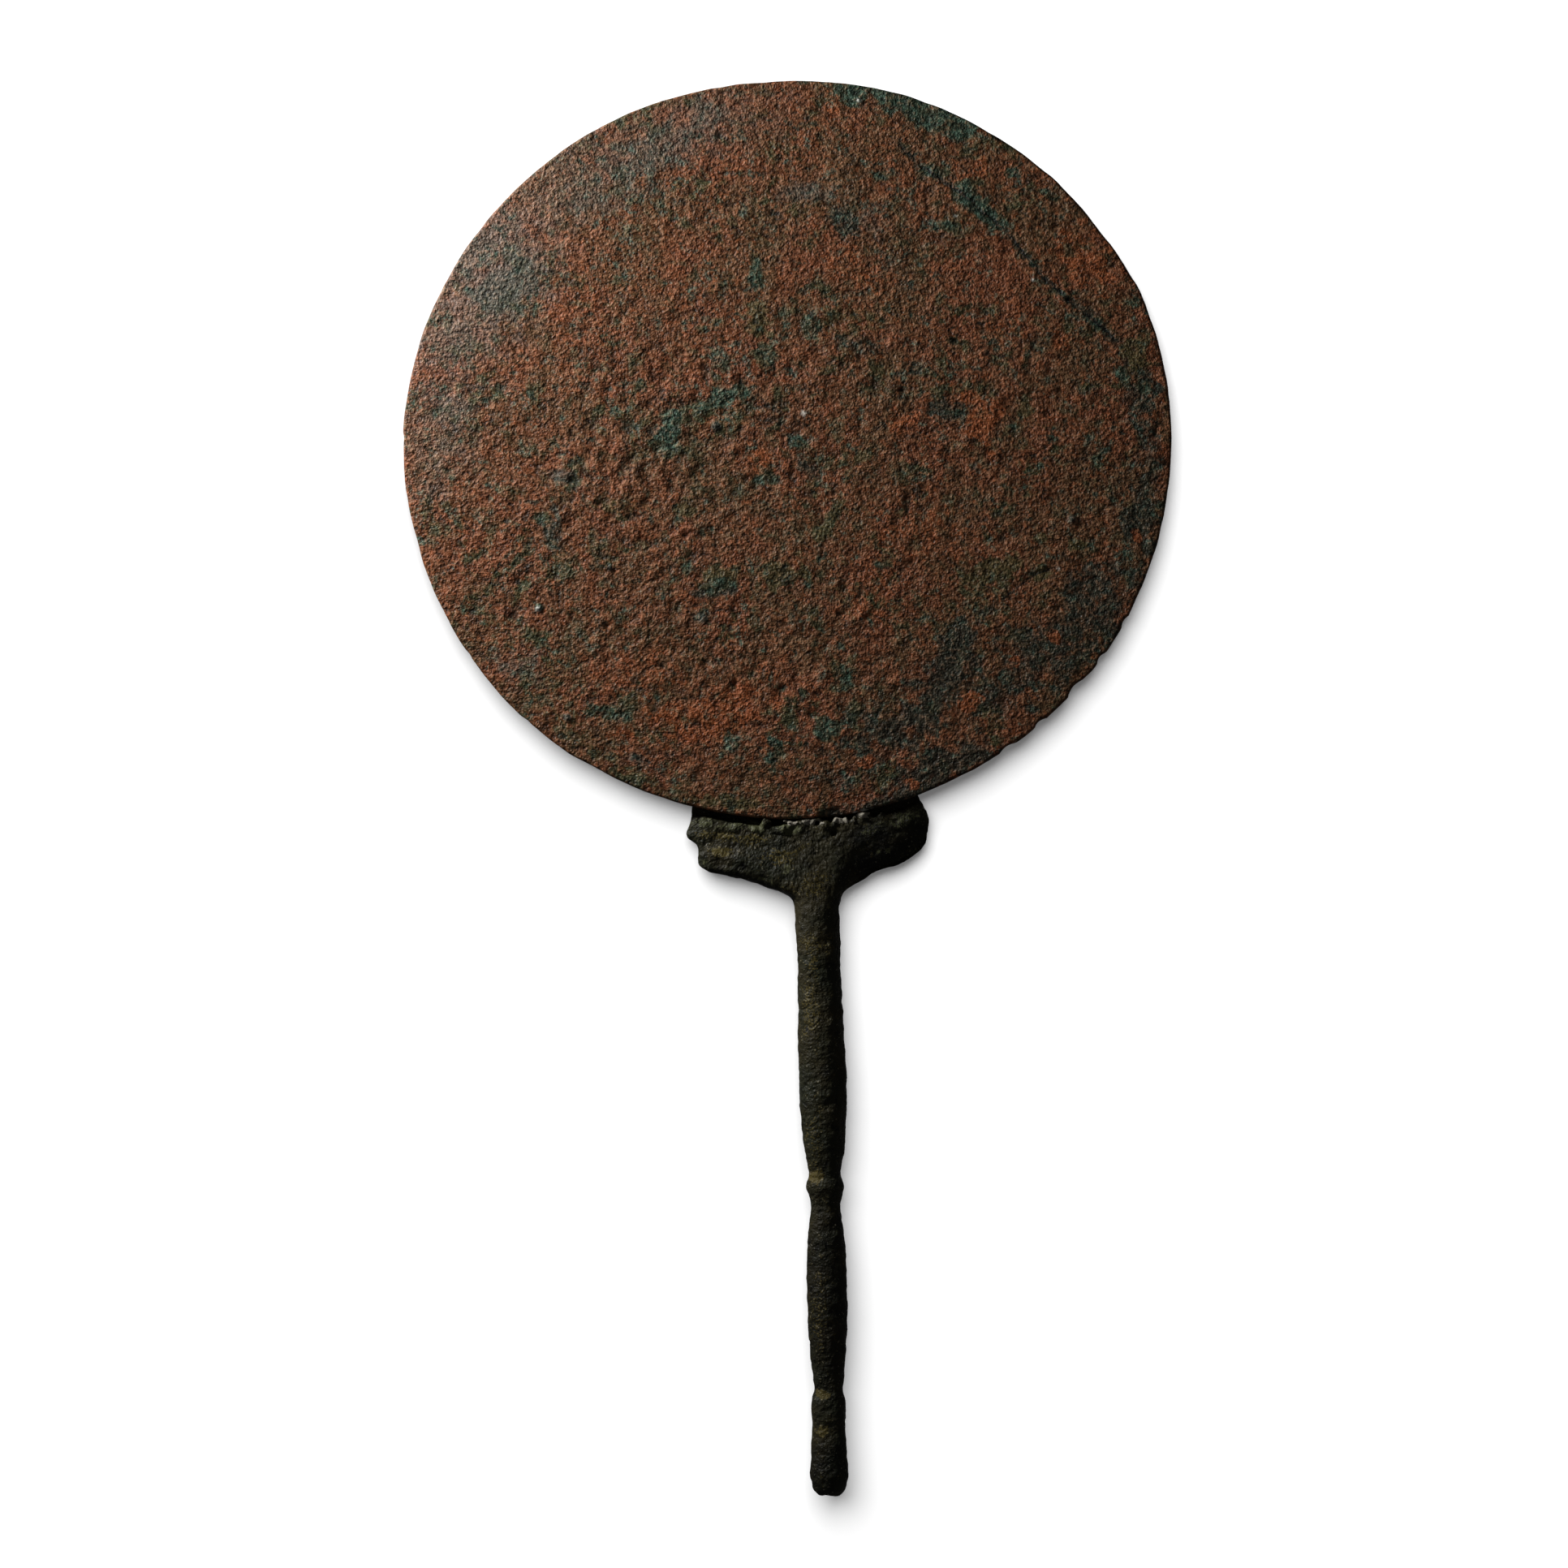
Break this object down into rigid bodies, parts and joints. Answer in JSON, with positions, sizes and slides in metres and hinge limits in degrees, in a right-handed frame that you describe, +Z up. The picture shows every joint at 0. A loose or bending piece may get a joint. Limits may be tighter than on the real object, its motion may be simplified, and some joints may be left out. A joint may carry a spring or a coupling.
{
  "type": "bronze hand mirror",
  "caption": "Ancient hand mirror lying on its back: oval patinated bronze disc held in a groove-edged lobed bracket, cast in one with a turned baluster handle.",
  "frame": {"origin": "middle of the underside of the bounding box of the mirror lying on its back", "axes": "+Y from the handle's end towards the disc's far edge, +X to the right seen from above, +Z up out of the disc's face"},
  "size_m": [0.1286, 0.2364, 0.0083],
  "materials": {
    "disc_patina": "rough reddish-brown corroded bronze with olive, slate and teal patches",
    "handle_patina": "rough olive-black corroded bronze with ochre grains"
  },
  "bodies": {
    "root": {"disc": "disc_patina", "handle": "handle_patina"}
  },
  "joints": []
}
